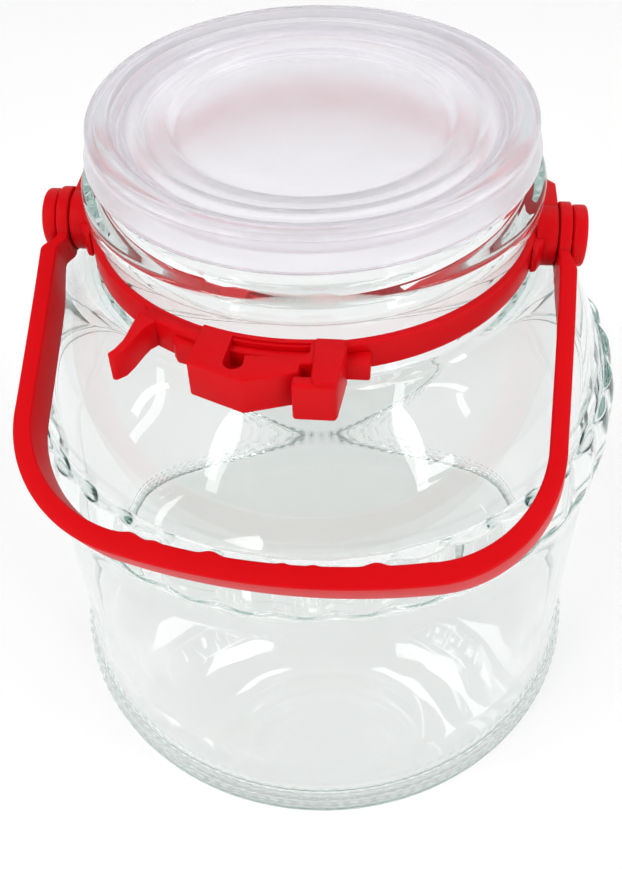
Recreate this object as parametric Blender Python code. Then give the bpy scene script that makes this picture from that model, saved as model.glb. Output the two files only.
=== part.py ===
# Wide-mouth glass jar with a press-on lid and a red carrying handle.
# The jar stands on Z = 0 with its axis on Z. The handle turns about a line along X,
# a little in front of the jar's axis, and hangs to the front (-Y), against the belt.
import math

import bmesh
import bpy
from mathutils import Matrix, Vector
from mathutils.geometry import interpolate_bezier

MM = 0.001
GAP = 0.3                   # clearance between touching pieces, mm

# Jar: outer radii and heights, mm
HEEL_R = 84.0
HEEL_Z = 3.2
BASE_FLAT_R = 78.5
PANEL_R = 80.5
PANEL_Z = 26.0
PANEL_TOP_R = 81.3
PANEL_TOP_Z = 101.0
BELT_LOW_R = 81.7
BELT_LOW_Z = 106.4
BELT_TOP_R = 79.2
BELT_TOP_Z = 123.0
NECK_R = 53.4
NECK_ROOT_Z = 155.8
BEAD_R = 55.8
BEAD_LOW_Z = 172.6
BEAD_HEIGHT = 7.4
FINISH_R = 51.2
RIM_Z = 191.2
MOUTH_R = 46.8
WALL = 3.2
FLOOR_Z = 6.4
LOBES = 36
LOBE_OUT = 1.3              # how far a lobe swells past its cusps
LOBE_DROP = 1.5             # how far its lower edge hangs below them
LOBE_TURN_DEG = -2.2        # azimuth of the first cusp
JAR_STEPS = 108

# Lid, mm
LID_TOP_Z = 193.5
LID_STEPS = 48

# Neck band, its bosses and the pivot, mm
BAND_R = 55.5
BAND_LOW_Z = 160.0
BAND_HIGH_Z = 167.6
BAND_STEPS = 60
PIVOT_Y = -6.6
PIVOT_Z = 163.8
BOSS_R = 7.4
BOSS_END_X = 59.2
CAP_X = 62.6
CAP_END_X = 66.1
CAP_EDGE = 0.9
PIN_R = 3.4
FIN_HIGH_Z = 171.0          # the gusset behind the boss stands as high as the boss

# Buckle on the band, mm
BUCKLE_LOW_Z = 158.4
BUCKLE_HIGH_Z = 168.1
SLOT_FLOOR_Z = 162.4
SLOT_BACK_R = 54.9
STRAP_IN_R = 55.6
STRAP_OUT_R = 57.7
STRAP_HIGH_Z = 166.3
LATCH_HIGH_Z = 168.8
TOOTH_PITCH = 1.6
TEETH = 6

# Handle, mm and degrees
REST_DEG = 24.5             # the bail hangs this far below level
EYE_X = 59.5
EYE_END_X = 62.3
EYE_R = 8.0
EYE_HOLE_R = 3.9
NECK_V = 7.8                # the eyes' straight part ends here, out from the pivot
ARM_V = 10.6                # and the arms have their full width from here
ARM_OUT = 64.8              # half width over the arms near the eyes
ARM_LOW = 63.3              # the same where the corners begin
ARM_THICK = 4.1
BAR_THICK = 5.2
REACH = 90.8                # pivot to the outer edge of the bar
CORNER_R = 33.7
CORNER_STEPS = 9
BAR_ARCH_R = 175.0
STRAP_TOP = 4.6             # upper face above the pivot, square to the bail
ARM_DEPTH = 5.0             # lower edge below the pivot at the eyes
BAR_DEPTH = 5.8             # the same at the bar
STRAP_LEAN = 1.3            # the lower edge leans this far to +X
SET_OVER = 0.9              # the arms sit this far to -X of the eyes
SWAY = 2.2                  # and the bar hangs this much further to -X
SKEW = 0.046                # the bar slants, lower on the +X side, mm per mm
# finger grips on the bar's inner edge: place along it, half width, height
RIDGES = [(-30.9, 3.4, 0.75), (-25.4, 2.1, 0.35), (-12.6, 3.3, 0.8), (3.3, 1.8, 0.3),
          (10.0, 1.8, 0.3), (23.5, 3.6, 0.85)]


def clear_scene():
    for obj in list(bpy.data.objects):
        bpy.data.objects.remove(obj, do_unlink=True)


def material(name, rgba, roughness, transmission=0.0, ior=1.5):
    mat = bpy.data.materials.new(name)
    mat.use_nodes = True
    shader = mat.node_tree.nodes["Principled BSDF"]
    shader.inputs["Base Color"].default_value = rgba
    shader.inputs["Metallic"].default_value = 0.0
    shader.inputs["Roughness"].default_value = roughness
    shader.inputs["Transmission Weight"].default_value = transmission
    shader.inputs["IOR"].default_value = ior
    return mat


def bezier(start, handle_a, handle_b, end, count):
    # points after the start, up to and with the end, of one cubic in (r, z)
    knots = [Vector((p[0], p[1], 0.0)) for p in (start, handle_a, handle_b, end)]
    points = interpolate_bezier(*knots, count + 1)
    return [(p.x, p.y) for p in points[1:]]


def arc(centre, radius, start_deg, end_deg, count):
    points = []
    for i in range(count + 1):
        a = math.radians(start_deg + (end_deg - start_deg) * i / count)
        points.append((centre[0] + radius * math.cos(a), centre[1] + radius * math.sin(a)))
    return points


def finish(name, bm, mat, sharp_deg=35.0):
    # weld, face outwards, and turn the bmesh into a named object
    bmesh.ops.remove_doubles(bm, verts=bm.verts, dist=0.00001)
    bmesh.ops.recalc_face_normals(bm, faces=bm.faces)
    mesh = bpy.data.meshes.new(name)
    bm.to_mesh(mesh)
    bm.free()
    mesh.materials.append(mat)
    mesh.shade_smooth()
    mesh.set_sharp_from_angle(angle=math.radians(sharp_deg))
    obj = bpy.data.objects.new(name, mesh)
    bpy.context.scene.collection.objects.link(obj)
    return obj


def turned(profile, steps, start_deg=0.0):
    # spin a section, given in mm from axis to axis, once round Z
    bm = bmesh.new()
    across = math.cos(math.radians(start_deg)) * MM
    along = math.sin(math.radians(start_deg)) * MM
    verts = [bm.verts.new((r * across, r * along, z * MM)) for r, z in profile]
    edges = [bm.edges.new(pair) for pair in zip(verts, verts[1:])]
    bmesh.ops.spin(bm, geom=verts + edges, cent=(0.0, 0.0, 0.0), axis=(0.0, 0.0, 1.0),
                   angle=math.tau, steps=steps, use_merge=True)
    return bm


def sector(inner_r, outer_r, start_deg, end_deg, count):
    # plan outline of a piece of ring round the jar's axis
    outside = arc((0.0, 0.0), outer_r, start_deg, end_deg, count)
    return outside + arc((0.0, 0.0), inner_r, end_deg, start_deg, count)


def prism(outline, low, high):
    # extrude a plan outline, in mm, from one height to another
    bm = bmesh.new()
    floor = [bm.verts.new((x * MM, y * MM, low * MM)) for x, y in outline]
    bm.faces.new(floor)
    extruded = bmesh.ops.extrude_face_region(bm, geom=list(bm.faces))
    top = [item for item in extruded["geom"] if isinstance(item, bmesh.types.BMVert)]
    bmesh.ops.translate(bm, verts=top, vec=(0.0, 0.0, (high - low) * MM))
    return bm


def cross_cylinder(radius, start_x, end_x, steps):
    # a cylinder along X on the pivot line
    bm = bmesh.new()
    length = (end_x - start_x) * MM
    place = Matrix.Translation(((start_x + end_x) / 2 * MM, PIVOT_Y * MM, PIVOT_Z * MM))
    bmesh.ops.create_cone(bm, cap_ends=True, segments=steps, radius1=radius * MM,
                          radius2=radius * MM, depth=length,
                          matrix=place @ Matrix.Rotation(math.pi / 2, 4, "Y"))
    return bm


def combine(obj, bm, operation):
    # apply one exact Boolean with a temporary tool
    tool = finish("tool", bm, obj.data.materials[0])
    modifier = obj.modifiers.new("combine", "BOOLEAN")
    modifier.operation = operation
    modifier.solver = "EXACT"
    modifier.object = tool
    bpy.context.view_layer.update()
    evaluated = obj.evaluated_get(bpy.context.evaluated_depsgraph_get())
    result = bpy.data.meshes.new_from_object(evaluated)
    obj.modifiers.remove(modifier)
    old = obj.data
    obj.data = result
    bpy.data.meshes.remove(old)
    tool_mesh = tool.data
    bpy.data.objects.remove(tool, do_unlink=True)
    bpy.data.meshes.remove(tool_mesh)


def outer_profile():
    heel = bezier((BASE_FLAT_R, 0.0), (82.6, 0.0), (HEEL_R, 0.5), (HEEL_R, HEEL_Z), 2)
    ease = bezier((HEEL_R, HEEL_Z), (83.6, 12.0), (PANEL_R, 13.0), (PANEL_R, PANEL_Z), 3)
    belt = [(BELT_LOW_R - 0.6, BELT_LOW_Z - 2.0), (BELT_LOW_R, BELT_LOW_Z),
            (BELT_LOW_R - 0.5, 114.0), (BELT_TOP_R + 0.5, BELT_TOP_Z - 1.4),
            (BELT_TOP_R - 0.7, BELT_TOP_Z + 1.0)]
    shoulder = bezier(belt[-1], (76.8, 129.2), (70.0, 139.6), (67.8, 144.5), 3)
    root = bezier(shoulder[-1], (65.4, 149.8), (59.6, NECK_ROOT_Z - 0.2),
                  (NECK_R + 0.8, NECK_ROOT_Z), 4)
    bead_high = BEAD_LOW_Z + BEAD_HEIGHT
    neck = [(NECK_R, NECK_ROOT_Z + 1.0), (NECK_R, BEAD_LOW_Z - 0.8), (BEAD_R, BEAD_LOW_Z + 0.8),
            (BEAD_R, bead_high - 1.4), (FINISH_R, bead_high), (FINISH_R, RIM_Z - 1.2),
            (FINISH_R - 1.2, RIM_Z)]
    return ([(0.0, 0.0), (BASE_FLAT_R, 0.0)] + heel + ease + [(PANEL_R, 72.0)]
            + [(PANEL_TOP_R, PANEL_TOP_Z)] + belt + shoulder + root + neck)


def inner_profile():
    wall_r = PANEL_R - WALL
    shoulder = bezier((MOUTH_R + 2.6, 162.0), (MOUTH_R + 4.0, 150.0), (66.6, 147.0),
                      (BELT_TOP_R - WALL - 2.0, 122.0), 4)
    floor = bezier((wall_r, 24.0), (wall_r, 12.0), (75.0, FLOOR_Z - 0.6), (64.0, FLOOR_Z), 2)
    return ([(MOUTH_R + 0.8, RIM_Z), (MOUTH_R, RIM_Z - 1.0), (MOUTH_R, 178.0),
             (MOUTH_R + 2.6, 162.0)] + shoulder + [(wall_r, 104.0), (wall_r, 24.0)] + floor
            + [(0.0, FLOOR_Z)])


def make_jar(mat):
    bm = turned(outer_profile() + inner_profile(), JAR_STEPS, LOBE_TURN_DEG)
    # swell the belt into rounded lobes, with a cusp at every third step
    for vert in bm.verts:
        x, y, z = vert.co
        r = math.hypot(x, y)
        height = z / MM
        if not (BELT_LOW_Z - 2.5 < height < BELT_TOP_Z and r > (BELT_TOP_R - 1.0) * MM):
            continue
        phase = (math.atan2(y, x) - math.radians(LOBE_TURN_DEG)) * LOBES / math.tau
        lobe = abs(math.sin(math.pi * phase))
        if height > BELT_LOW_Z - 1.0:
            swell = LOBE_OUT * lobe * (1.0 if height < BELT_TOP_Z - 2.0 else 0.6) * MM
            vert.co.x += x / r * swell
            vert.co.y += y / r * swell
        if height < BELT_LOW_Z + 1.0:
            vert.co.z -= LOBE_DROP * lobe * MM
    return finish("jar", bm, mat, 50.0)


def make_lid(mat):
    top = [(0.0, 189.3), (33.0, 189.3), (34.2, 190.5), (38.2, 190.7), (40.2, 192.0),
           (46.2, 192.3), (47.4, 193.3), (48.4, LID_TOP_Z), (51.0, LID_TOP_Z)]
    skirt = [(52.2, 192.9), (52.6, 191.8), (53.0, 188.4), (53.8, 186.4), (53.8, 184.9)]
    inside = [(52.4, 184.9), (52.2, 187.0), (51.7, 190.4), (50.9, RIM_Z + GAP),
              (46.4, RIM_Z + GAP), (46.2, 186.0), (45.0, 186.0), (44.8, 190.5), (40.6, 190.3),
              (38.8, 189.0), (34.6, 188.9), (33.4, 187.7), (0.0, 187.7)]
    return finish("lid", turned(top + skirt + inside, LID_STEPS), mat, 40.0)


def slot_outline():
    # J-shaped pocket in the housing, with a toothed front edge
    back = arc((0.0, 0.0), SLOT_BACK_R, -85.4, -103.4, 5)
    hook = arc((-11.4, -61.7), 2.2, 180.0, 360.0, 6)
    teeth = []
    for i in range(TEETH):
        teeth += [(-8.4 + TOOTH_PITCH * i, -59.5), (-7.6 + TOOTH_PITCH * i, -58.8)]
    return back + hook + [(-9.4, -59.5)] + teeth + [(2.6, -59.5), (4.4, -57.6)]


def add_buckle(band):
    housing = [(-19.4, -48.4), (-21.4, -62.2), (-9.1, -67.4), (2.6, -63.7), (2.6, -61.0),
               (6.0, -61.0), (6.0, -52.0)]
    step = [(-19.0, -50.0), (-26.2, -52.2), (-25.2, -54.1), (-20.6, -55.6)]
    arm = [(5.3, -52.6), (5.3, -66.4), (6.2, -67.8), (10.9, -67.8), (12.2, -56.8), (12.2, -52.6)]
    pad = [(1.4, -65.0), (1.4, -67.4), (2.2, -68.3), (9.8, -68.3), (10.8, -67.4), (10.8, -65.0)]
    stub = [(10.0, -53.0), (10.0, -57.6), (17.2, -57.6), (17.2, -52.0)]
    tab = [(-34.2, -43.4), (-35.4, -49.6), (-35.9, -53.0), (-36.5, -56.0), (-37.6, -58.4),
           (-38.7, -59.8), (-38.5, -60.6), (-37.5, -60.8), (-35.6, -59.2), (-34.3, -56.4),
           (-33.0, -52.6), (-31.6, -49.6), (-28.0, -47.6)]
    outer_strap = sector(BAND_R - 1.0, STRAP_OUT_R, -126.0, -108.0, 5)
    strap_end = sector(STRAP_IN_R, STRAP_OUT_R, -105.0, -83.0, 6)
    combine(band, prism(outer_strap, BAND_LOW_Z, BAND_HIGH_Z), "UNION")
    combine(band, prism(housing, BUCKLE_LOW_Z, BUCKLE_HIGH_Z), "UNION")
    combine(band, prism(slot_outline(), SLOT_FLOOR_Z, BUCKLE_HIGH_Z + 2.0), "DIFFERENCE")
    combine(band, prism(strap_end, BAND_LOW_Z, STRAP_HIGH_Z), "UNION")
    combine(band, prism(step, BAND_LOW_Z, BAND_HIGH_Z - 1.6), "UNION")
    combine(band, prism(arm, BUCKLE_LOW_Z, LATCH_HIGH_Z), "UNION")
    combine(band, prism(pad, BUCKLE_LOW_Z - 0.2, LATCH_HIGH_Z - 0.5), "UNION")
    combine(band, prism(stub, 160.4, 165.3), "UNION")
    combine(band, prism(tab, BAND_LOW_Z + 0.1, BAND_HIGH_Z - 0.1), "UNION")


def add_pivot(band, side):
    # boss with its gussets, pin and retaining cap on one side
    inner_x = side * 50.0
    boss_x = side * BOSS_END_X
    gusset = [(inner_x, PIVOT_Y - 11.0), (side * 54.4, PIVOT_Y - 10.6),
              (side * 56.6, PIVOT_Y - 6.0), (boss_x, PIVOT_Y), (boss_x, PIVOT_Y + 12.6),
              (side * 54.2, PIVOT_Y + 18.6), (inner_x, PIVOT_Y + 18.6)]
    fin = [(inner_x, PIVOT_Y), (boss_x, PIVOT_Y), (boss_x, PIVOT_Y + 11.4),
           (side * 56.4, PIVOT_Y + 14.2), (inner_x, PIVOT_Y + 15.4)]
    combine(band, prism(gusset, BAND_LOW_Z + 0.4, BAND_HIGH_Z - 0.4), "UNION")
    combine(band, prism(fin, PIVOT_Z, FIN_HIGH_Z), "UNION")
    combine(band, cross_cylinder(BOSS_R, inner_x, boss_x, 28), "UNION")
    combine(band, cross_cylinder(PIN_R, side * (BOSS_END_X - 1.0), side * (CAP_X + 1.0), 16),
            "UNION")
    cap = cross_cylinder(BOSS_R, side * CAP_X, side * CAP_END_X, 28)
    rim = [e for e in cap.edges if all(abs(v.co.x) > (CAP_END_X - 0.1) * MM for v in e.verts)]
    bmesh.ops.bevel(cap, geom=rim, offset=CAP_EDGE * MM, segments=1, affect="EDGES")
    combine(band, cap, "UNION")


def make_band(mat):
    disc = [(0.0, BAND_LOW_Z), (BAND_R - 0.3, BAND_LOW_Z), (BAND_R, BAND_LOW_Z + 0.3),
            (BAND_R, BAND_HIGH_Z - 0.3), (BAND_R - 0.3, BAND_HIGH_Z), (0.0, BAND_HIGH_Z)]
    band = finish("band", turned(disc, BAND_STEPS), mat)
    add_buckle(band)
    for side in (-1.0, 1.0):
        add_pivot(band, side)
    bore_r = NECK_R + GAP
    bore = [(0.0, 150.0), (bore_r, 150.0), (bore_r, 175.0), (0.0, 175.0)]
    combine(band, turned(bore, BAND_STEPS), "DIFFERENCE")
    return band


def bar_outer(u):
    return REACH - BAR_ARCH_R + math.sqrt(BAR_ARCH_R ** 2 - u * u)


def bar_inner(u):
    # the bar's inner edge, with the finger grips standing on it
    edge = bar_outer(u) - BAR_THICK
    for place, half_width, height in RIDGES:
        if abs(u - place) < half_width:
            edge -= height * (1.0 + math.cos(math.pi * (u - place) / half_width)) / 2.0
    return edge


def askew(u, v):
    # the bail is sprung onto its pins a little crooked: set over, swaying and slanting
    out = min(1.0, max(0.0, (v - NECK_V) / (ARM_V - NECK_V)))
    share = max(0.0, (v - NECK_V) / (REACH - NECK_V))
    return (u - SET_OVER * out - SWAY * (share + share * share) / 2.0,
            v + SKEW * u * share)


def strap_stations():
    # pairs of (outer, inner) points in the bail's own plane: u across, v away from the pivot
    corner_u = ARM_LOW - CORNER_R
    reach = BAR_ARCH_R - CORNER_R
    corner_v = REACH - BAR_ARCH_R + math.sqrt(reach ** 2 - corner_u ** 2)
    sweep = math.acos(corner_u / reach)
    right = [((EYE_END_X, 0.0), (EYE_X, 0.0)), ((EYE_END_X, NECK_V), (EYE_X, NECK_V))]
    for v in (ARM_V, 24.0, 38.0):
        out = ARM_OUT + (ARM_LOW - ARM_OUT) * (v - ARM_V) / (corner_v - ARM_V)
        right.append(((out, v), (out - ARM_THICK, v)))
    for i in range(CORNER_STEPS + 1):
        part = i / CORNER_STEPS
        thick = ARM_THICK + (BAR_THICK - ARM_THICK) * part
        across = math.cos(sweep * part)
        away = math.sin(sweep * part)
        right.append(((corner_u + CORNER_R * across, corner_v + CORNER_R * away),
                      (corner_u + (CORNER_R - thick) * across,
                       corner_v + (CORNER_R - thick) * away)))
    left = [((-o[0], o[1]), (-i[0], i[1])) for o, i in right]
    places = [place + half_width * step / 2.0 for place, half_width, height in RIDGES
              for step in (-2, -1, 0, 1, 2)]
    bar = [((u, bar_outer(u)), (u, bar_inner(u))) for u in sorted(places, reverse=True)]
    return right + bar + left[::-1]


def make_handle(mat):
    # strap first, flat in the XY plane with v along -Y, then turned down about the pivot
    bm = bmesh.new()
    rows = []
    for outer, inner in strap_stations():
        spread = min(1.0, max(0.0, (outer[1] - 24.0) / 30.0))
        low = -(ARM_DEPTH + (BAR_DEPTH - ARM_DEPTH) * spread)
        lean = STRAP_LEAN * min(1.0, max(0.0, (outer[1] - ARM_V) / 14.0))
        row = []
        for spot, height in ((outer, STRAP_TOP), (inner, STRAP_TOP), (inner, low), (outer, low)):
            u, v = askew(*spot)
            along = lean if height < 0.0 else 0.0
            row.append(bm.verts.new(((u + along) * MM, -v * MM, height * MM)))
        rows.append(row)
    for a, b in zip(rows, rows[1:]):
        for i in range(4):
            j = (i + 1) % 4
            bm.faces.new((a[i], a[j], b[j], b[i]))
    bm.faces.new(rows[0])
    bm.faces.new(rows[-1])
    place = Matrix.Translation((0.0, PIVOT_Y * MM, PIVOT_Z * MM))
    tilt = Matrix.Rotation(math.radians(REST_DEG), 4, "X")
    bmesh.ops.transform(bm, matrix=place @ tilt, verts=bm.verts)
    handle = finish("handle", bm, mat)
    for side in (-1.0, 1.0):
        combine(handle, cross_cylinder(EYE_R, side * EYE_X, side * EYE_END_X, 28), "UNION")
        combine(handle, cross_cylinder(EYE_HOLE_R, side * (EYE_X - 2.0), side * (EYE_END_X + 2.0),
                                       20), "DIFFERENCE")
    return handle


def hang_on_pivot(obj):
    # give the handle its origin on the pivot line
    pivot = Vector((0.0, PIVOT_Y * MM, PIVOT_Z * MM))
    obj.data.transform(Matrix.Translation(-pivot))
    obj.location = pivot


def main():
    clear_scene()
    glass = material("soda_lime_glass", (0.90, 0.96, 0.94, 1.0), 0.03, 1.0, 1.52)
    polyethylene = material("milky_polyethylene", (0.88, 0.88, 0.90, 1.0), 0.35, 0.4)
    red = material("red_polypropylene", (0.80, 0.01, 0.02, 1.0), 0.35)
    make_jar(glass)
    make_lid(polyethylene)
    make_band(red)
    handle = make_handle(red)
    hang_on_pivot(handle)


main()
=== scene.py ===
# Wide-mouth glass jar with a milky lid and a red clip-on handle, standing on a white studio table.
import math

import bmesh
import bpy
from mathutils import Matrix, Vector
from mathutils.geometry import interpolate_bezier


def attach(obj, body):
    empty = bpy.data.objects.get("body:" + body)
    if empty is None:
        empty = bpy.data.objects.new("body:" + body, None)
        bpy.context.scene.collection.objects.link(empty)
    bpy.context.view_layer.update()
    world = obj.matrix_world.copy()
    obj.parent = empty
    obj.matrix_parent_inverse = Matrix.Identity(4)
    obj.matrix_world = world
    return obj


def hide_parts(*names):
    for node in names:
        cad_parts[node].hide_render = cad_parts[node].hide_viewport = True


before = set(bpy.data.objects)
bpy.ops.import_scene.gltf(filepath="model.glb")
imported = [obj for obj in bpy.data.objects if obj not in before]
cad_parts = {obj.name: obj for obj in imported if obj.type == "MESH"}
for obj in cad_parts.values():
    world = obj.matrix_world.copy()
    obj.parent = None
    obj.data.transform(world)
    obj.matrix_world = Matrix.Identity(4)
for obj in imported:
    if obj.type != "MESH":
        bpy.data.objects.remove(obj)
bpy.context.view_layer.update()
mm = 0.001


def srgb(hexCode):
    # an sRGB hex colour as linear RGBA
    values = [int(hexCode[i:i + 2], 16) / 255 for i in (0, 2, 4)]
    return [v / 12.92 if v <= 0.04045 else ((v + 0.055) / 1.055) ** 2.4 for v in values] + [1.0]


def addNode(tree, kind, inputs=None, **settings):
    # one node with its settings, its fixed inputs and its links
    node = tree.nodes.new(kind)
    for name, value in settings.items():
        setattr(node, name, value)
    for key, value in (inputs or {}).items():
        if isinstance(value, bpy.types.NodeSocket):
            tree.links.new(value, node.inputs[key])
        else:
            node.inputs[key].default_value = value
    return node


def calc(tree, operation, *values):
    return addNode(tree, "ShaderNodeMath", dict(enumerate(values)), operation=operation).outputs[0]


def vectorCalc(tree, operation, inputs, output=0):
    return addNode(tree, "ShaderNodeVectorMath", inputs, operation=operation).outputs[output]


def ramp(tree, value, start, end, low=0.0, high=1.0, kind="SMOOTHSTEP"):
    # from low to high while the value runs from start to end
    return addNode(tree, "ShaderNodeMapRange",
                   {"Value": value, "From Min": start, "From Max": end, "To Min": low,
                    "To Max": high}, interpolation_type=kind).outputs[0]


def newMaterial(name):
    material = bpy.data.materials.new(name)
    material.use_nodes = True
    material.node_tree.nodes.clear()
    return material, material.node_tree


def objectNoise(tree, scale, detail):
    place = addNode(tree, "ShaderNodeTexCoord").outputs["Object"]
    return addNode(tree, "ShaderNodeTexNoise", {"Vector": place, "Scale": scale,
                                                "Detail": detail}).outputs[0]


def uneven(tree, look):
    # a skin that isn't quite flat, as bump; the depth is in metres
    return addNode(tree, "ShaderNodeBump",
                   {"Height": objectNoise(tree, look["grain"], look["grainDetail"]),
                    "Strength": look["grainStrength"], "Distance": look["grainDepth"]}).outputs[0]


cameraSetup = {
    "turn": 6.0,          # degrees round the jar from straight in front
    "distance": 221.8,    # mm from the jar's axis, over the floor
    "height": 314.8,      # mm above the floor
    "pitch": 46.32, "roll": -1.99, "yaw": -0.71,
    "lens": 43.2,
    "clipStart": 0.01,    # m, because the jar stands close
}


def addObject(name, data):
    obj = bpy.data.objects.new(name, data)
    bpy.context.scene.collection.objects.link(obj)
    return obj


def makeCamera(setup):
    pitch, roll, yaw = (math.radians(setup[k]) for k in ("pitch", "roll", "yaw"))
    forward = Vector((math.sin(yaw) * math.cos(pitch), math.cos(yaw) * math.cos(pitch),
                      -math.sin(pitch)))
    right = Vector((math.cos(yaw), -math.sin(yaw), 0.0))
    up = right.cross(forward)
    across = right * math.cos(roll) + up * math.sin(roll)
    above = up * math.cos(roll) - right * math.sin(roll)
    data = bpy.data.cameras.new("camera")
    data.lens = setup["lens"]
    data.clip_start = setup["clipStart"]
    camera = addObject("camera", data)
    aimed = Matrix((across, above, -forward)).transposed().to_4x4()
    place = Vector((0.0, -setup["distance"] * mm, setup["height"] * mm))
    camera.matrix_world = (Matrix.Rotation(math.radians(setup["turn"]), 4, "Z")
                           @ Matrix.Translation(place) @ aimed)
    bpy.context.scene.camera = camera


makeCamera(cameraSetup)


def bezier(start, handleA, handleB, end, count):
    knots = [Vector((p[0], p[1], 0.0)) for p in (start, handleA, handleB, end)]
    return [(p.x, p.y) for p in interpolate_bezier(*knots, count + 1)][1:]


def arc(centre, radius, startDeg, endDeg, count):
    points = []
    for i in range(count + 1):
        a = math.radians(startDeg + (endDeg - startDeg) * i / count)
        points.append((centre[0] + radius * math.cos(a), centre[1] + radius * math.sin(a)))
    return points


def stretch(start, end, count):
    # points after the start up to the end of a straight run
    return [(start[0] + (end[0] - start[0]) * i / count, start[1] + (end[1] - start[1]) * i / count)
            for i in range(1, count + 1)]


def meshObject(name, bm):
    bmesh.ops.recalc_face_normals(bm, faces=bm.faces)
    mesh = bpy.data.meshes.new(name)
    bm.to_mesh(mesh)
    bm.free()
    mesh.shade_smooth()
    return addObject(name, mesh)


def turned(profile, columns, closed=False, start=0.0):
    # a section in mm, turned round the jar's axis; points on the axis become poles
    bm = bmesh.new()
    rings = []
    turns = [start + math.tau * i / columns for i in range(columns)]
    for r, z in profile:
        if r == 0.0:
            rings.append([bm.verts.new((0.0, 0.0, z * mm))])
            continue
        rings.append([bm.verts.new((r * mm * math.cos(a), r * mm * math.sin(a), z * mm))
                      for a in turns])
    pairs = list(zip(rings, rings[1:]))
    if closed:
        pairs.append((rings[-1], rings[0]))
    for low, high in pairs:
        for i in range(columns):
            j = (i + 1) % columns
            corners = [low[i % len(low)], low[j % len(low)], high[j % len(high)],
                       high[i % len(high)]]
            bm.faces.new(list(dict.fromkeys(corners)))
    return bm


sharpEdge = math.radians(25)      # edges sharper than this are eased
smoothBelow = math.radians(40)    # faces that meet at less than this are shaded as one


def prism(outline, low, high, bevel, segments=2):
    # a plan outline in mm made a solid, with its edges eased as moulded plastic is
    bm = bmesh.new()
    floor = bm.faces.new([bm.verts.new((x * mm, y * mm, low * mm)) for x, y in outline])
    moved = bmesh.ops.extrude_face_region(bm, geom=[floor])
    top = [g for g in moved["geom"] if isinstance(g, bmesh.types.BMVert)]
    bmesh.ops.translate(bm, verts=top, vec=(0.0, 0.0, (high - low) * mm))
    bmesh.ops.recalc_face_normals(bm, faces=bm.faces)
    if bevel:
        edges = [e for e in bm.edges if e.calc_face_angle(0.0) > sharpEdge]
        bmesh.ops.bevel(bm, geom=edges, offset=bevel * mm, segments=segments, affect="EDGES",
                        profile=0.5, clamp_overlap=True)
    return bm


def joined(name, parts):
    # several closed bodies of one moulding in a single object
    whole = bmesh.new()
    for part in parts:
        mesh = bpy.data.meshes.new("part")
        bmesh.ops.recalc_face_normals(part, faces=part.faces)
        part.to_mesh(mesh)
        part.free()
        whole.from_mesh(mesh)
        bpy.data.meshes.remove(mesh)
    mesh = bpy.data.meshes.new(name)
    whole.to_mesh(mesh)
    whole.free()
    mesh.shade_smooth()
    mesh.set_sharp_from_angle(angle=smoothBelow)
    return addObject(name, mesh)


def runNodes(obj, tree, values):
    # set the tree's named inputs, keep the result as a plain mesh and drop the modifier
    modifier = obj.modifiers.new(tree.name, "NODES")
    modifier.node_group = tree
    for item in tree.interface.items_tree:
        if item.item_type == "SOCKET" and item.in_out == "INPUT" and item.name in values:
            modifier[item.identifier] = values[item.name]
    bpy.context.view_layer.update()
    evaluated = obj.evaluated_get(bpy.context.evaluated_depsgraph_get())
    result = bpy.data.meshes.new_from_object(evaluated)
    obj.modifiers.remove(modifier)
    old = obj.data
    obj.data = result
    bpy.data.meshes.remove(old)


def newTree(name, sockets):
    tree = bpy.data.node_groups.new(name, "GeometryNodeTree")
    tree.interface.new_socket("Geometry", in_out="INPUT", socket_type="NodeSocketGeometry")
    for label, kind in sockets:
        tree.interface.new_socket(label, in_out="INPUT", socket_type="NodeSocket" + kind)
    tree.interface.new_socket("Geometry", in_out="OUTPUT", socket_type="NodeSocketGeometry")
    return tree, tree.nodes.new("NodeGroupInput")


def endTree(tree, geometry, material):
    realized = addNode(tree, "GeometryNodeRealizeInstances", {"Geometry": geometry})
    painted = addNode(tree, "GeometryNodeSetMaterial",
                      {"Geometry": realized.outputs[0], "Material": material})
    addNode(tree, "NodeGroupOutput", {"Geometry": painted.outputs[0]})


glassLook = {
    "surface": "fbfbfb",
    "throughWall": "93c6bd",   # what a path along the wall does to white light
    "density": 7.0,
    "lampTint": "f3f3f2",
    "roughness": 0.0,
    "ior": 1.52,
    # slow waves in the pressed skin
    "grain": 28.0, "grainDetail": 0.0, "grainStrength": 0.1, "grainDepth": 0.002,
}


def letLampsThrough(tree, shader, tint):
    # lamps shine through the wall, a little weakened, so that what stands behind it is lit
    lamp = addNode(tree, "ShaderNodeLightPath").outputs["Is Shadow Ray"]
    passing = addNode(tree, "ShaderNodeBsdfTransparent", {"Color": srgb(tint)})
    return addNode(tree, "ShaderNodeMixShader", {0: lamp, 1: shader.outputs[0], 2: passing.outputs[0]})


def sodaLimeGlass(look):
    # pressed and blown soda-lime glass: fire-polished, faintly green where light runs along the wall
    material, tree = newMaterial("pressed soda-lime glass")
    shader = addNode(tree, "ShaderNodeBsdfPrincipled",
                     {"Base Color": srgb(look["surface"]), "Roughness": look["roughness"],
                      "IOR": look["ior"], "Transmission Weight": 1.0,
                      "Normal": uneven(tree, look)})
    tint = addNode(tree, "ShaderNodeVolumeAbsorption",
                   {"Color": srgb(look["throughWall"]), "Density": look["density"]})
    lit = letLampsThrough(tree, shader, look["lampTint"])
    addNode(tree, "ShaderNodeOutputMaterial", {"Surface": lit.outputs[0], "Volume": tint.outputs[0]})
    return material


glass = sodaLimeGlass(glassLook)

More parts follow.
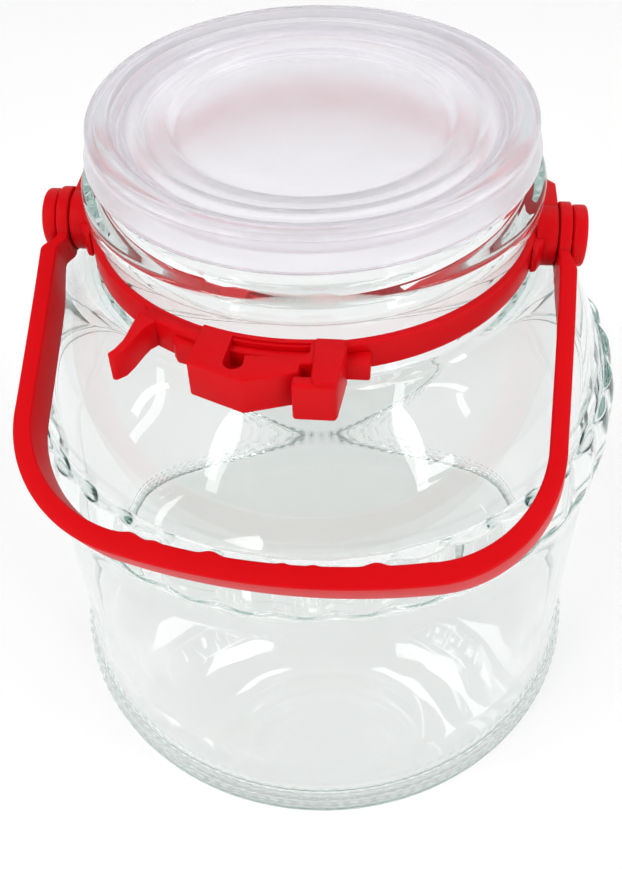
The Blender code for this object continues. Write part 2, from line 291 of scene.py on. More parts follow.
jarSize = {
    "standRadius": 78.5, "heelRadius": 83.75, "heelHeight": 3.2,
    "panelRadius": 80.5, "panelTopRadius": 81.2,
    "beltLow": 106.4, "beltLowRadius": 81.7, "beltTop": 122.8, "beltTopRadius": 79.2,
    "neckRadius": 53.4, "neckRoot": 155.8,
    "beadRadius": 55.8, "beadLow": 172.6, "beadHeight": 7.4,
    "finishRadius": 51.2, "rim": 191.2, "mouthRadius": 46.8,
    "wall": 3.2, "floor": 6.4,
    "columns": 504,
}
jarRelief = {
    "Lobes": 36, "Lobe turn": math.radians(-2.2), "Lobe swell": 1.3 * mm, "Lobe drop": 1.2 * mm,
    "Belt low": jarSize["beltLow"] * mm, "Belt top": jarSize["beltTop"] * mm,
    "Dots round": 128, "Dot rows": 4, "Dot low": 2.6 * mm, "Dot pitch": 3.5 * mm,
    "Dot height": 0.22 * mm,
}


def jarOutside(size):
    # the outer section, from the middle of the underside up to the lip, as (radius, height) in mm
    under = [(0.0, 2.2)] + bezier((0.0, 2.2), (30.0, 2.2), (54.0, 1.4), (74.5, 0.05), 9)
    under += [(size["standRadius"], 0.0)]
    heelTop = (size["heelRadius"], size["heelHeight"])
    heel = bezier(under[-1], (82.4, 0.0), (size["heelRadius"], 0.5), heelTop, 5)
    ease = bezier(heelTop, (83.6, 12.0), (size["panelRadius"], 13.0), (size["panelRadius"], 26.0), 30)
    panel = stretch(ease[-1], (size["panelRadius"], 72.0), 2)
    panel += stretch(panel[-1], (size["panelTopRadius"], size["beltLow"] - 5.2), 3)
    low, high = size["beltLow"], size["beltTop"]
    foot, head = size["beltLowRadius"], size["beltTopRadius"]
    # a smooth rim under the lobes, the belt itself and a ledge at its top
    belt = bezier(panel[-1], (size["panelTopRadius"], low - 4.4), (foot + 0.7, low - 5.2),
                  (foot + 0.8, low - 3.2), 6)
    belt += bezier(belt[-1], (foot + 0.9, low - 1.4), (foot + 0.3, low - 0.6),
                   (foot - 0.3, low - 0.2), 5)
    belt += bezier(belt[-1], (foot - 0.5, low + 0.4), (foot - 0.1, low + 0.8), (foot, low + 1.6), 4)
    belt += stretch(belt[-1], (foot - 0.4, low + 6.5), 3)
    belt += bezier(belt[-1], (foot - 0.9, low + 12.0), (head + 0.9, high - 3.0),
                   (head + 0.5, high - 1.6), 6)
    belt += bezier(belt[-1], (head + 0.3, high - 0.2), (head - 1.4, high - 0.6),
                   (head - 1.5, high + 1.0), 8)
    neck, root = size["neckRadius"], size["neckRoot"]
    shoulder = bezier(belt[-1], (73.6, 136.2), (63.2, root), (neck + 0.9, root), 25)
    shoulder += bezier(shoulder[-1], (neck + 0.2, root), (neck, root + 0.5), (neck, root + 1.4), 3)
    swell, beadLow = size["beadRadius"], size["beadLow"]
    beadHigh = beadLow + size["beadHeight"]
    finish, rim = size["finishRadius"], size["rim"]
    bead = stretch(shoulder[-1], (neck, beadLow - 1.2), 2)
    bead += bezier(bead[-1], (neck, beadLow), (swell, beadLow - 0.2), (swell, beadLow + 2.0), 6)
    bead += stretch(bead[-1], (swell, beadHigh - 2.6), 2)
    bead += bezier(bead[-1], (swell, beadHigh - 0.6), (finish + 0.4, beadHigh - 0.6),
                   (finish, beadHigh + 1.4), 6)
    lip = stretch(bead[-1], (finish, rim - 2.2), 2)
    lip += bezier(lip[-1], (finish, rim), (finish - 0.6, rim), (finish - 2.2, rim), 5)
    return under + heel + ease + panel + belt + shoulder + bead + lip


def jarInside(size):
    # the inner section, from the lip down to the middle of the floor
    inner, floor = size["panelRadius"] - size["wall"], size["floor"]
    mouth, rim = size["mouthRadius"], size["rim"]
    lip = bezier((size["finishRadius"] - 2.2, rim), (mouth, rim), (mouth, rim - 0.6),
                 (mouth, rim - 2.4), 5)
    neck = bezier(lip[-1], (mouth, 183.0), (mouth + 2.6, 178.0), (mouth + 3.2, 162.0), 6)
    shoulder = bezier(neck[-1], (mouth + 4.6, 148.0), (67.0, 147.0),
                      (size["beltTopRadius"] - size["wall"] - 2.0, 122.0), 16)
    wall = bezier(shoulder[-1], (76.0, 114.0), (inner, 110.0), (inner, 100.0), 5)
    wall += stretch(wall[-1], (inner, 27.0), 4)
    wall += bezier(wall[-1], (inner, 17.0), (79.3, 15.0), (79.7, 10.6), 10)
    wall += bezier(wall[-1], (79.9, 7.8), (78.4, floor + 0.1), (74.6, floor), 7)
    wall += bezier(wall[-1], (50.0, floor - 0.2), (24.0, floor + 0.6), (0.0, floor + 0.8), 8)
    return lip + neck + shoulder + wall


# where the scallops come and go, mm past the belt's lower and upper edge
lobeFade = {"rise": (-0.4, 1.4), "fade": (-0.9, 0.3), "hangFrom": -2.2, "hangTo": 7.0}
dotReach = (0.12, 0.42)    # full height inside the first, flat past the second, in dot pitches


def reliefTree(material):
    # scallops round the belt and the rows of dots round the heel, both by rule
    tree, start = newTree("moulded relief", [
        ("Lobes", "Int"), ("Lobe turn", "Float"), ("Lobe swell", "Float"), ("Lobe drop", "Float"),
        ("Belt low", "Float"), ("Belt top", "Float"), ("Dots round", "Int"), ("Dot rows", "Int"),
        ("Dot low", "Float"), ("Dot pitch", "Float"), ("Dot height", "Float")])
    given = start.outputs
    spot = addNode(tree, "GeometryNodeInputPosition").outputs[0]
    xyz = addNode(tree, "ShaderNodeSeparateXYZ", {0: spot}).outputs
    outer = addNode(tree, "GeometryNodeInputNamedAttribute", {"Name": "outside"}).outputs["Attribute"]
    angle = calc(tree, "ARCTAN2", xyz["Y"], xyz["X"])
    flat = vectorCalc(tree, "MULTIPLY", {0: spot, 1: (1.0, 1.0, 0.0)})
    radial = vectorCalc(tree, "NORMALIZE", {0: flat})
    # scallop: round lobes that meet in cusps
    past = calc(tree, "SUBTRACT", angle, given["Lobe turn"])
    phase = calc(tree, "MULTIPLY", past, calc(tree, "MULTIPLY", given["Lobes"], 0.5))
    lobe = calc(tree, "ABSOLUTE", calc(tree, "SINE", phase))
    lobe = calc(tree, "MULTIPLY", lobe, outer)
    low, top = given["Belt low"], given["Belt top"]
    riseFrom, riseTo = (calc(tree, "ADD", low, edge * mm) for edge in lobeFade["rise"])
    fadeFrom, fadeTo = (calc(tree, "ADD", top, edge * mm) for edge in lobeFade["fade"])
    rise = ramp(tree, xyz["Z"], riseFrom, riseTo)
    fade = ramp(tree, xyz["Z"], fadeFrom, fadeTo, 1.0, 0.0)
    swell = calc(tree, "MULTIPLY", lobe, given["Lobe swell"])
    swell = calc(tree, "MULTIPLY", swell, calc(tree, "MULTIPLY", rise, fade))
    out = vectorCalc(tree, "SCALE", {0: radial, "Scale": swell})
    # the lobes' lower ends hang down in points
    hang = ramp(tree, xyz["Z"], low, calc(tree, "ADD", low, lobeFade["hangTo"] * mm), 1.0, 0.0)
    hangFrom = calc(tree, "ADD", low, lobeFade["hangFrom"] * mm)
    begin = ramp(tree, xyz["Z"], hangFrom, riseFrom, kind="LINEAR")
    drop = calc(tree, "MULTIPLY", calc(tree, "MULTIPLY", hang, begin), lobe)
    drop = calc(tree, "MULTIPLY", drop, given["Lobe drop"])
    down = vectorCalc(tree, "SCALE", {0: (0.0, 0.0, -1.0), "Scale": drop})
    # dots: each row is set half a pitch on from the one below
    lifted = calc(tree, "SUBTRACT", xyz["Z"], given["Dot low"])
    rows = calc(tree, "DIVIDE", lifted, given["Dot pitch"])
    shift = calc(tree, "FLOORED_MODULO", calc(tree, "FLOOR", rows), 2.0)
    shift = calc(tree, "MULTIPLY", shift, 0.5)
    share = calc(tree, "DIVIDE", angle, math.tau)
    across = calc(tree, "MULTIPLY_ADD", share, given["Dots round"], shift)
    fromDot = addNode(tree, "ShaderNodeCombineXYZ",
                      {"X": calc(tree, "FRACT", across), "Y": calc(tree, "FRACT", rows),
                       "Z": 0.5}).outputs[0]
    reach = vectorCalc(tree, "DISTANCE", {0: fromDot, 1: (0.5, 0.5, 0.5)}, "Value")
    dome = ramp(tree, reach, *dotReach, 1.0, 0.0)
    for limit in (calc(tree, "GREATER_THAN", rows, 0.0),
                  calc(tree, "LESS_THAN", rows, given["Dot rows"]), outer, given["Dot height"]):
        dome = calc(tree, "MULTIPLY", dome, limit)
    normal = addNode(tree, "GeometryNodeInputNormal").outputs[0]
    bump = vectorCalc(tree, "SCALE", {0: normal, "Scale": dome})
    total = vectorCalc(tree, "ADD", {0: vectorCalc(tree, "ADD", {0: out, 1: down}), 1: bump})
    shaped = addNode(tree, "GeometryNodeSetPosition", {"Geometry": given["Geometry"], "Offset": total})
    endTree(tree, shaped.outputs[0], material)
    return tree


def makeJar(size, relief, material):
    outside = jarOutside(size)
    inside = jarInside(size)
    obj = meshObject("glass_jar", turned(outside + inside, size["columns"],
                                         start=relief["Lobe turn"]))
    # mark the outer skin, so that the relief leaves the inner wall smooth
    skin = obj.data.attributes.new("outside", "FLOAT", "POINT")
    outerCount = 1 + (len(outside) - 1) * size["columns"]
    skin.data.foreach_set("value", [1.0 if i < outerCount else 0.0
                                    for i in range(len(obj.data.vertices))])
    runNodes(obj, reliefTree(material), relief)
    obj.data.shade_smooth()
    return obj


print("glass jar")
jar = makeJar(jarSize, jarRelief, glass)
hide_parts("jar")
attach(jar, "jar")


lidLook = {
    "milk": "fdfbff", "lampTint": "eeecf0", "seeThrough": 0.78, "ior": 1.5,
    "roughness": (0.14, 0.28), "patches": 60.0, "patchDetail": 3.0,
    "grain": 1400.0, "grainDetail": 2.0, "grainStrength": 0.06, "grainDepth": 0.0003,
}
lidSize = {"top": 193.5, "skirtLow": 184.9, "columns": 192}


def milkyPolyethylene(look):
    # injection-moulded low-density polyethylene: waxy sheen, and blurred shapes show through it
    material, tree = newMaterial("milky moulded polyethylene")
    flow = objectNoise(tree, look["patches"], look["patchDetail"])
    wax = ramp(tree, flow, 0.0, 1.0, *look["roughness"], "LINEAR")
    shader = addNode(tree, "ShaderNodeBsdfPrincipled",
                     {"Base Color": srgb(look["milk"]), "Roughness": wax, "IOR": look["ior"],
                      "Transmission Weight": look["seeThrough"], "Normal": uneven(tree, look)})
    lit = letLampsThrough(tree, shader, look["lampTint"])
    addNode(tree, "ShaderNodeOutputMaterial", {"Surface": lit.outputs[0]})
    return material


def makeLid(size, material):
    # outside from the sunk middle over the raised rim to the skirt, inside back round the plug
    top, skirtLow = size["top"], size["skirtLow"]
    outside = [(0.0, 189.4)] + stretch((0.0, 189.4), (31.4, 189.4), 4)
    outside += bezier(outside[-1], (32.6, 189.4), (33.0, 190.5), (34.4, 190.6), 5)
    outside += stretch(outside[-1], (38.4, 190.7), 2)
    outside += bezier(outside[-1], (39.8, 190.8), (39.8, 192.0), (41.2, 192.1), 5)
    outside += stretch(outside[-1], (45.8, 192.2), 2)
    outside += bezier(outside[-1], (46.9, 192.2), (46.6, top), (48.2, top), 6)
    outside += stretch(outside[-1], (50.6, top), 2)
    outside += bezier(outside[-1], (51.9, top), (52.5, top - 0.4), (52.6, top - 1.8), 5)
    outside += bezier(outside[-1], (52.8, 189.0), (53.1, 187.6), (53.5, 186.2), 5)
    outside += bezier(outside[-1], (53.9, 185.6), (53.9, skirtLow), (53.2, skirtLow), 4)
    inside = [(52.6, skirtLow)]
    inside += bezier(inside[-1], (52.0, 185.2), (52.0, 187.0), (51.8, 188.6), 4)
    inside += bezier(inside[-1], (51.8, 191.4), (51.6, 191.6), (50.2, 191.6), 5)
    inside += stretch(inside[-1], (47.6, 191.6), 2)
    inside += bezier(inside[-1], (46.6, 191.6), (46.4, 191.0), (46.3, 190.0), 4)
    inside += stretch(inside[-1], (46.2, 186.4), 2)
    inside += bezier(inside[-1], (46.0, 185.8), (45.2, 185.8), (45.0, 186.4), 4)
    inside += bezier(inside[-1], (44.9, 190.4), (44.4, 190.6), (42.0, 190.5), 5)
    inside += bezier(inside[-1], (40.0, 190.4), (39.6, 189.2), (37.6, 189.1), 5)
    inside += bezier(inside[-1], (33.6, 189.0), (33.6, 187.8), (30.6, 187.8), 6)
    inside += [(0.0, 187.8)]
    obj = meshObject("lid_cover", turned(outside + inside, size["columns"]))
    obj.data.materials.append(material)
    return obj


print("lid")
polyethylene = milkyPolyethylene(lidLook)
lid = makeLid(lidSize, polyethylene)
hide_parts("lid")
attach(lid, "jar")


redLook = {
    "lit": "dd0512", "deep": "d2030d", "gloss": 0.14, "ior": 1.49,
    "roughness": (0.37, 0.50), "patches": 45.0, "patchDetail": 3.0,
    "glow": 0.2, "glowReach": (1.0, 0.08, 0.05), "glowDepth": 0.002,
    "grain": 1800.0, "grainDetail": 2.0, "grainStrength": 0.08, "grainDepth": 0.0002,
}


def redPolypropylene(look):
    # injection-moulded polypropylene: solid red through and through, with a soft satin sheen
    material, tree = newMaterial("red moulded polypropylene")
    flow = objectNoise(tree, look["patches"], look["patchDetail"])
    tone = addNode(tree, "ShaderNodeMix", {"Factor": flow, 6: srgb(look["deep"]),
                                           7: srgb(look["lit"])}, data_type="RGBA")
    sheen = ramp(tree, flow, 0.0, 1.0, *look["roughness"], "LINEAR")
    shader = addNode(tree, "ShaderNodeBsdfPrincipled",
                     {"Base Color": tone.outputs[2], "Roughness": sheen, "IOR": look["ior"],
                      "Specular IOR Level": look["gloss"], "Subsurface Weight": look["glow"],
                      "Subsurface Radius": look["glowReach"], "Subsurface Scale": look["glowDepth"],
                      "Normal": uneven(tree, look)})
    addNode(tree, "ShaderNodeOutputMaterial", {"Surface": shader.outputs[0]})
    return material


red = redPolypropylene(redLook)

pivot = {
    "y": -6.6, "z": 163.8, "bossRadius": 7.4, "bossStart": 54.2, "bossEnd": 59.2,
    "pinRadius": 3.4, "pinStart": 58.4, "pinEnd": 63.6, "capStart": 62.6, "capEnd": 66.1,
    "eyeStart": 59.5, "eyeEnd": 62.3, "eyeRadius": 8.0, "eyeBore": 3.9, "finTop": 171.0,
    "columns": 64, "pinColumns": 32,
}
bandSize = {"radius": 55.5, "bore": 53.7, "low": 160.0, "high": 167.6, "columns": 256}
buckleSize = {
    "low": 158.4, "high": 168.1, "slotFloor": 162.4, "slotBack": 54.9,
    "strapInner": 55.6, "strapOuter": 57.7, "strapTop": 166.3, "latchTop": 168.8,
    "stubLow": 160.4, "stubHigh": 165.3, "boreCut": (150.0, 175.0),
    "toothPitch": 1.6, "teeth": 6, "toothSize": (1.1, 1.1, 5.0), "firstTooth": (-7.8, -59.4, 163.0),
}


def crossRound(radius, startX, endX, columns, bevel, bore=0.0):
    # a disc or rod along X on the pivot line, its rims eased
    low, high = min(startX, endX), max(startX, endX)
    section = [(bore, low)]
    section += arc((radius - bevel, low + bevel), bevel, -90.0, 0.0, 4)
    section += arc((radius - bevel, high - bevel), bevel, 0.0, 90.0, 4)
    section += [(bore, high)]
    bm = turned(section, columns, closed=bore > 0.0)
    turn = Matrix(((0, 0, 1, 0), (1, 0, 0, 0), (0, 1, 0, 0), (0, 0, 0, 1)))
    place = Matrix.Translation((0.0, pivot["y"] * mm, pivot["z"] * mm))
    bmesh.ops.transform(bm, matrix=place @ turn, verts=bm.verts)
    return bm


def strapRing(size):
    # the neck strap: a flat ring with eased edges
    low, high, out, bore = size["low"], size["high"], size["radius"], size["bore"]
    section = arc((out - 0.4, low + 0.4), 0.4, -90.0, 0.0, 4)
    section += arc((out - 0.4, high - 0.4), 0.4, 0.0, 90.0, 4)
    section += arc((bore + 0.3, high - 0.3), 0.3, 90.0, 180.0, 3)
    section += arc((bore + 0.3, low + 0.3), 0.3, 180.0, 270.0, 3)
    return turned(section, size["columns"], closed=True)


def sector(innerRadius, outerRadius, startDeg, endDeg, count):
    outside = arc((0.0, 0.0), outerRadius, startDeg, endDeg, count)
    return outside + arc((0.0, 0.0), innerRadius, endDeg, startDeg, count)


def carve(body, cutter):
    # cut one closed shape out of another, both given as bmesh
    block, tool = meshObject("carving", body), meshObject("carving", cutter)
    modifier = block.modifiers.new("carve", "BOOLEAN")
    modifier.operation = "DIFFERENCE"
    modifier.solver = "EXACT"
    modifier.object = tool
    bpy.context.view_layer.update()
    evaluated = block.evaluated_get(bpy.context.evaluated_depsgraph_get())
    mesh = bpy.data.meshes.new_from_object(evaluated)
    result = bmesh.new()
    result.from_mesh(mesh)
    for obj in (block, tool):
        data = obj.data
        bpy.data.objects.remove(obj, do_unlink=True)
        bpy.data.meshes.remove(data)
    bpy.data.meshes.remove(mesh)
    return result


def housingBody(size):
    # the buckle's block, cut to the neck, with the slot's pocket open to the top
    outline = [(-19.4, -48.4), (-21.4, -62.2), (-9.1, -67.4), (2.6, -63.7), (2.6, -61.0),
               (6.0, -61.0), (6.0, -52.0)]
    hook = arc((-11.4, -61.7), 2.2, 180.0, 360.0, 12)
    back = arc((0.0, 0.0), size["slotBack"], -85.4, -103.4, 10)
    pocket = back + hook + [(-9.2, -59.5), (2.6, -59.5), (4.4, -57.6)]
    radius, (cutLow, cutHigh) = bandSize["bore"], size["boreCut"]
    bore = [(0.0, cutLow), (radius, cutLow), (radius, cutHigh), (0.0, cutHigh)]
    body = prism(outline, size["low"], size["high"], 0.55, 3)
    body = carve(body, turned(bore, bandSize["columns"]))
    return carve(body, prism(pocket, size["slotFloor"], size["high"] + 3.0, 0.0))


def makeBand(size, buckle, material):
    parts = [strapRing(size), housingBody(buckle)]
    outerStrap = sector(size["radius"] - 1.0, buckle["strapOuter"], -126.0, -108.0, 16)
    strapEnd = sector(buckle["strapInner"], buckle["strapOuter"], -105.0, -83.0, 16)
    step = [(-19.0, -50.0), (-24.6, -49.8), (-26.4, -52.2), (-25.3, -54.1), (-20.6, -55.6)]
    armOutline = [(5.3, -53.6), (5.3, -66.4), (6.2, -67.8), (10.9, -67.8), (12.2, -56.8), (11.6, -53.6)]
    pad = [(1.4, -65.0), (1.4, -68.3), (10.8, -68.3), (10.8, -65.0)]
    stub = [(10.0, -54.6), (10.0, -57.6), (17.2, -57.6), (17.2, -52.9)]
    tab = [(-34.4, -43.8), (-35.0, -46.8), (-35.5, -50.2), (-35.9, -53.0), (-36.4, -55.6), (-37.6, -58.4),
           (-38.7, -59.8), (-38.5, -60.6), (-37.5, -60.8), (-35.6, -59.2), (-34.3, -56.4), (-33.1, -52.8),
           (-32.1, -50.5), (-30.5, -48.8), (-28.0, -47.8)]
    parts.append(prism(outerStrap, size["low"], size["high"], 0.35))
    parts.append(prism(strapEnd, size["low"], buckle["strapTop"], 0.3))
    parts.append(prism(step, size["low"], size["high"] - 1.6, 0.35))
    parts.append(prism(armOutline, buckle["low"], buckle["latchTop"], 0.5, 3))
    parts.append(prism(pad, buckle["low"] - 0.2, buckle["latchTop"] - 0.5, 0.8, 4))
    parts.append(prism(stub, buckle["stubLow"], buckle["stubHigh"], 0.5))
    parts.append(prism(tab, size["low"] + 0.1, size["high"] - 0.1, 0.4, 3))
    for side in (-1.0, 1.0):
        y, end = pivot["y"], side * pivot["bossEnd"]
        gusset = [(side * 53.0, y - 11.0), (side * 54.4, y - 10.6), (side * 56.6, y - 6.0), (end, y),
                  (end, y + 12.6), (side * 54.2, y + 18.6), (side * 52.6, y + 17.8)]
        fin = [(side * 54.3, y), (end, y), (end, y + 11.4), (side * 56.4, y + 14.2),
               (side * 54.0, y + 15.0)]
        parts.append(prism(gusset, size["low"] + 0.4, size["high"] - 0.4, 0.35))
        parts.append(prism(fin, pivot["z"], pivot["finTop"], 0.35))
        for radius, first, last, columns, bevel in (
                (pivot["bossRadius"], pivot["bossStart"], pivot["bossEnd"], pivot["columns"], 0.4),
                (pivot["pinRadius"], pivot["pinStart"], pivot["pinEnd"], pivot["pinColumns"], 0.1),
                (pivot["bossRadius"], pivot["capStart"], pivot["capEnd"], pivot["columns"], 0.8)):
            parts.append(crossRound(radius, side * first, side * last, columns, bevel))
    obj = joined("neck_band", parts)
    obj.data.materials.append(material)
    return obj


def teethTree(material):
    # small ratchet teeth set out in a row along the front of the slot
    tree, start = newTree("ratchet teeth", [("Teeth", "Int"), ("Pitch", "Float"), ("Size", "Vector"),
                                            ("First", "Vector")])
    given = start.outputs
    step = addNode(tree, "ShaderNodeCombineXYZ", {"X": given["Pitch"]}).outputs[0]
    row = addNode(tree, "GeometryNodeMeshLine", {"Count": given["Teeth"], "Start Location": given["First"],
                                                 "Offset": step}, mode="OFFSET")
    tooth = addNode(tree, "GeometryNodeMeshCone", {"Vertices": 4, "Radius Top": 0.25, "Radius Bottom": 0.7,
                                                   "Depth": 1.0})
    placed = addNode(tree, "GeometryNodeInstanceOnPoints",
                     {"Points": row.outputs[0], "Instance": tooth.outputs[0], "Scale": given["Size"]})
    endTree(tree, placed.outputs[0], material)
    return tree


print("neck band and buckle")
band = makeBand(bandSize, buckleSize, red)
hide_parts("band")
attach(band, "jar")

teeth = addObject("buckle_teeth", bpy.data.meshes.new("buckle_teeth"))
runNodes(teeth, teethTree(red), {
    "Teeth": buckleSize["teeth"], "Pitch": buckleSize["toothPitch"] * mm,
    "Size": [length * mm for length in buckleSize["toothSize"]],
    "First": [place * mm for place in buckleSize["firstTooth"]]})
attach(teeth, "jar")


handleSize = {
    "restDeg": 24.5, "armOut": 64.8, "armLow": 63.3, "armThick": 4.1, "barThick": 5.2,
    "neck": 7.8, "armStart": 10.6, "reach": 90.8, "cornerRadius": 33.7, "archRadius": 175.0,
    "top": 4.6, "armDepth": 5.0, "barDepth": 5.8, "lean": 1.3, "edge": 0.7,
    "setOver": 0.9, "sway": 2.2, "skew": 0.046,
    # mm from the pivot: where the arm starts inside the eye, widens, and where the bar's grips begin
    "rootStart": 4.5, "flareStart": 7.0, "flareEnd": 11.4, "gripStart": 78.0,
    "deepenStart": 24.0, "deepenOver": 30.0, "leanOver": 14.0,
    "flareSteps": 8, "armSteps": 16, "cornerSteps": 32, "barSteps": 150,
}
# finger grips along the bar: place, half width, height in mm
gripRidges = [(-30.9, 3.4, 0.75), (-25.4, 2.1, 0.35), (-12.6, 3.3, 0.8), (3.3, 1.8, 0.3),
              (10.0, 1.8, 0.3), (23.5, 3.6, 0.85)]
innerFacing = (-0.1, 0.8)    # grips come up while the skin turns from the bar's top to its inner side


def smooth(share):
    share = min(1.0, max(0.0, share))
    return share * share * (3.0 - 2.0 * share)


def bailStations(size):
    # pairs of outer and inner points in the bail's own plane: u across, v away from the pivot
    cornerU = size["armLow"] - size["cornerRadius"]
    reach = size["archRadius"] - size["cornerRadius"]
    cornerV = size["reach"] - size["archRadius"] + math.sqrt(reach ** 2 - cornerU ** 2)
    sweep = math.acos(cornerU / reach)
    eyeOut, eyeIn, flareEnd = pivot["eyeEnd"], pivot["eyeStart"], size["flareEnd"]
    right = [((eyeOut, v), (eyeIn, v)) for v in (size["rootStart"], size["flareStart"])]
    for i in range(1, size["flareSteps"] + 1):
        part = i / size["flareSteps"]
        v = size["flareStart"] + (flareEnd - size["flareStart"]) * part
        out = eyeOut + (size["armOut"] - eyeOut) * smooth(part)
        inner = eyeIn + (size["armOut"] - size["armThick"] - eyeIn) * smooth(part)
        right.append(((out, v), (inner, v)))
    for i in range(1, size["armSteps"] + 1):
        part = i / size["armSteps"]
        v = flareEnd + (cornerV - flareEnd) * part
        out = size["armOut"] + (size["armLow"] - size["armOut"]) * part
        right.append(((out, v), (out - size["armThick"], v)))
    for i in range(1, size["cornerSteps"] + 1):
        part = i / size["cornerSteps"]
        thick = size["armThick"] + (size["barThick"] - size["armThick"]) * part
        across, away = math.cos(sweep * part), math.sin(sweep * part)
        right.append(((cornerU + size["cornerRadius"] * across, cornerV + size["cornerRadius"] * away),
                      (cornerU + (size["cornerRadius"] - thick) * across,
                       cornerV + (size["cornerRadius"] - thick) * away)))
    left = [((-o[0], o[1]), (-i[0], i[1])) for o, i in right]
    end = right[-1][0][0]
    innerEnd = right[-1][1][0]
    bar = []
    for i in range(1, size["barSteps"]):
        share = 1 - 2 * i / size["barSteps"]
        u = end * share
        outer = size["reach"] - size["archRadius"] + math.sqrt(size["archRadius"] ** 2 - u * u)
        bar.append(((u, outer), (innerEnd * share, outer - size["barThick"])))
    return right + bar + left[::-1]


def askew(size, u, v):
    # the bail is sprung on its pins a little crooked: set over, swaying and slanting
    out = smooth((v - size["neck"]) / (size["armStart"] - size["neck"]))
    share = max(0.0, (v - size["neck"]) / (size["reach"] - size["neck"]))
    return (u - size["setOver"] * out - size["sway"] * (share + share * share) / 2.0,
            v + size["skew"] * u * share)


def bailStrap(size):
    # a rounded rectangle carried along the bail, still flat, with v along -Y
    bm = bmesh.new()
    rows = []
    for outer, inner in bailStations(size):
        spread = min(1.0, max(0.0, (outer[1] - size["deepenStart"]) / size["deepenOver"]))
        low = -(size["armDepth"] + (size["barDepth"] - size["armDepth"]) * spread)
        lean = size["lean"] * smooth((outer[1] - size["armStart"]) / size["leanOver"])
        o, n = Vector(outer), Vector(inner)
        thick = (o - n).length
        across = (o - n) / thick
        e = size["edge"]
        section = []
        for cx, cz, first in ((thick - e, size["top"] - e, 0.0), (e, size["top"] - e, 90.0),
                              (e, low + e, 180.0), (thick - e, low + e, 270.0)):
            section += arc((cx, cz), e, first, first + 90.0, 4)
        row = []
        for s, height in section:
            point = n + across * s
            u, v = askew(size, point.x, point.y)
            down = (size["top"] - height) / (size["top"] - low)
            row.append(bm.verts.new(((u + lean * down) * mm, -v * mm, height * mm)))
        rows.append(row)
    count = len(rows[0])
    for a, b in zip(rows, rows[1:]):
        for i in range(count):
            j = (i + 1) % count
            bm.faces.new((a[i], a[j], b[j], b[i]))
    bm.faces.new(rows[0])
    bm.faces.new(rows[-1])
    return bm


def gripTree(ridges, material):
    # finger grips: rounded ridges that stand on the inner side of the bar
    tree, start = newTree("finger grips", [("Ridge height", "Float"), ("Bar shift", "Float"),
                                           ("Bar start", "Float"), ("Hang", "Float"),
                                           ("Pivot", "Vector")])
    given = start.outputs
    spot = addNode(tree, "GeometryNodeInputPosition").outputs[0]
    xyz = addNode(tree, "ShaderNodeSeparateXYZ", {0: spot}).outputs
    along = calc(tree, "ADD", xyz["X"], given["Bar shift"])
    total = None
    for place, halfWidth, height in ridges:
        away = calc(tree, "ABSOLUTE", calc(tree, "SUBTRACT", along, place * mm))
        ridge = ramp(tree, away, 0.0, halfWidth * mm, height, 0.0)
        total = ridge if total is None else calc(tree, "ADD", total, ridge)
    normal = addNode(tree, "GeometryNodeInputNormal").outputs[0]
    facing = addNode(tree, "ShaderNodeSeparateXYZ", {0: normal}).outputs["Y"]
    inner = ramp(tree, facing, *innerFacing)
    onBar = calc(tree, "LESS_THAN", xyz["Y"], given["Bar start"])
    wave = total
    for limit in (inner, onBar, given["Ridge height"]):
        wave = calc(tree, "MULTIPLY", wave, limit)
    inward = addNode(tree, "ShaderNodeCombineXYZ", {"Y": wave}).outputs[0]
    shaped = addNode(tree, "GeometryNodeSetPosition", {"Geometry": given["Geometry"], "Offset": inward})
    turn = addNode(tree, "ShaderNodeCombineXYZ", {"X": given["Hang"]}).outputs[0]
    hung = addNode(tree, "GeometryNodeTransform", {"Geometry": shaped.outputs[0],
                                                   "Translation": given["Pivot"], "Rotation": turn})
    endTree(tree, hung.outputs[0], material)
    return tree


def makeHandle(size, material):
    parts = [bailStrap(size)]
    unplaced = Matrix.Translation((0.0, -pivot["y"] * mm, -pivot["z"] * mm))
    for side in (-1.0, 1.0):
        eye = crossRound(pivot["eyeRadius"], side * pivot["eyeStart"], side * pivot["eyeEnd"],
                         pivot["columns"], 0.4, pivot["eyeBore"])
        bmesh.ops.transform(eye, matrix=unplaced, verts=eye.verts)
        parts.append(eye)
    obj = joined("carry_handle", parts)
    runNodes(obj, gripTree(gripRidges, material), {
        "Ridge height": 1.0 * mm, "Bar shift": (size["setOver"] + size["sway"]) * mm,
        "Bar start": -size["gripStart"] * mm, "Hang": math.radians(size["restDeg"]),
        "Pivot": (0.0, pivot["y"] * mm, pivot["z"] * mm)})
    return obj


print("handle")
handle = makeHandle(handleSize, red)
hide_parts("handle")
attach(handle, "handle")


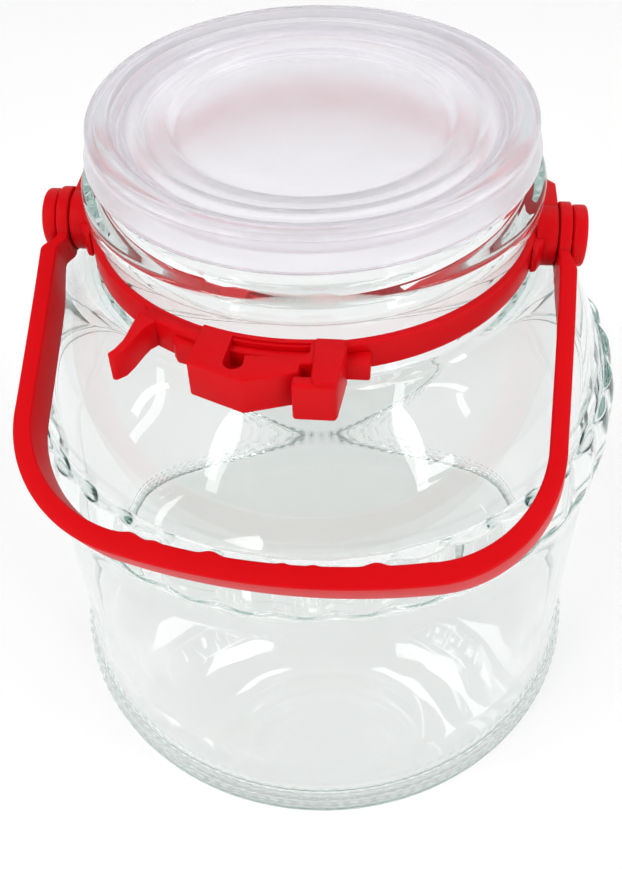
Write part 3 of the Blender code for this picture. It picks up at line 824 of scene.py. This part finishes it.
studio = {
    "table": "fafafa", "tableGlow": 0.12, "tableHalf": 6.0, "light": "ffffff",
    "grain": 900.0, "grainDetail": 2.0, "grainStrength": 0.05, "grainDepth": 0.0002,
    # the world: brightness overhead and level, and what a white sweep behind the jar adds
    "sky": 0.27, "horizon": 0.29, "skyFrom": 0.6, "backdrop": 0.32, "backdropFrom": (0.45, 0.8),
    "aim": (0.0, 0.0, 0.13), "paneDistance": 2.2,
    # light that runs along inside the glass wall needs many turns before it leaves it
    "turns": 64, "turnsInGlass": 48,
    # broad fills that no reflection shows: name, azimuth, elevation, distance m, size m, brightness
    "fills": [
        ("right soft box", -22.0, 44.0, 2.2, (1.65, 1.50), 1.75),
        ("left soft box", -146.0, 52.0, 2.2, (1.30, 1.30), 3.2),
        ("ceiling bounce", 90.0, 74.0, 2.6, (2.6, 1.6), 0.25),
    ],
    # window panes that the glass and the plastic mirror: name, limits of the lit patch
    # in azimuth and in elevation, brightness
    "panes": [
        ("right pane top", (25.0, 66.0), (57.0, 61.0), 6.0),
        ("right pane side", (-50.0, -45.0), (4.0, 46.0), 6.0),
        ("right pane foot", (-50.0, -36.0), (3.0, 7.0), 6.0),
        ("right pane inner side", (-20.0, -16.0), (30.0, 56.0), 5.0),
        ("left pane", (-150.0, -124.0), (46.0, 52.0), 6.0),
        ("left pane side", (-160.0, -156.0), (8.0, 40.0), 4.0),
        ("left pane inner side", (-126.0, -121.0), (4.0, 44.0), 5.0),
        ("rear left pane", (105.0, 114.0), (52.0, 57.0), 8.0),
        ("rear right pane", (75.0, 84.0), (54.0, 60.0), 8.0),
    ],
}


def makeTable(setup):
    bm = bmesh.new()
    bmesh.ops.create_grid(bm, x_segments=1, y_segments=1, size=setup["tableHalf"])
    obj = meshObject("table", bm)
    material, tree = newMaterial("matt white studio paper")
    shader = addNode(tree, "ShaderNodeBsdfPrincipled",
                     {"Base Color": srgb(setup["table"]), "Roughness": 0.9, "Specular IOR Level": 0.1,
                      "Emission Color": srgb(setup["light"]), "Emission Strength": setup["tableGlow"],
                      "Normal": uneven(tree, setup)})
    addNode(tree, "ShaderNodeOutputMaterial", {"Surface": shader.outputs[0]})
    obj.data.materials.append(material)


def addLamp(aim, name, azimuth, elevation, distance, size, brightness):
    # an even rectangle of light that faces the jar
    a, e = math.radians(azimuth), math.radians(elevation)
    towards = Vector((math.cos(a) * math.cos(e), math.sin(a) * math.cos(e), math.sin(e)))
    data = bpy.data.lights.new(name, "AREA")
    data.shape = "RECTANGLE"
    data.size, data.size_y = size
    data.energy = brightness * math.pi * size[0] * size[1]
    lamp = addObject(name, data)
    lamp.location = Vector(aim) + towards * distance
    lamp.rotation_euler = towards.to_track_quat("Z", "Y").to_euler()
    return lamp


def makeLights(setup):
    world = bpy.data.worlds.new("studio")
    bpy.context.scene.world = world
    world.use_nodes = True
    tree = world.node_tree
    tree.nodes.clear()
    way = addNode(tree, "ShaderNodeTexCoord").outputs["Generated"]
    xyz = addNode(tree, "ShaderNodeSeparateXYZ", {0: way}).outputs
    level = ramp(tree, xyz["Z"], 0.0, setup["skyFrom"], setup["horizon"], setup["sky"], "LINEAR")
    sweep = ramp(tree, xyz["Y"], *setup["backdropFrom"], 0.0, setup["backdrop"])
    back = addNode(tree, "ShaderNodeBackground", {"Color": srgb(setup["light"]),
                                                  "Strength": calc(tree, "ADD", level, sweep)})
    addNode(tree, "ShaderNodeOutputWorld", {"Surface": back.outputs[0]})
    for fill in setup["fills"]:
        lamp = addLamp(setup["aim"], *fill)
        lamp.visible_glossy = False
        lamp.visible_transmission = False
    distance = setup["paneDistance"]
    for name, azimuths, elevations, brightness in setup["panes"]:
        azimuth, elevation = sum(azimuths) / 2, sum(elevations) / 2
        wide = math.radians(azimuths[1] - azimuths[0]) * math.cos(math.radians(elevation)) * distance
        tall = math.radians(elevations[1] - elevations[0]) * distance
        addLamp(setup["aim"], name, azimuth, elevation, distance, (wide, tall), brightness)


print("table and light")
makeTable(studio)
makeLights(studio)
bpy.context.scene.view_settings.view_transform = "Standard"
bpy.context.scene.cycles.max_bounces = studio["turns"]
bpy.context.scene.cycles.glossy_bounces = studio["turnsInGlass"]
bpy.context.scene.cycles.transmission_bounces = studio["turnsInGlass"]
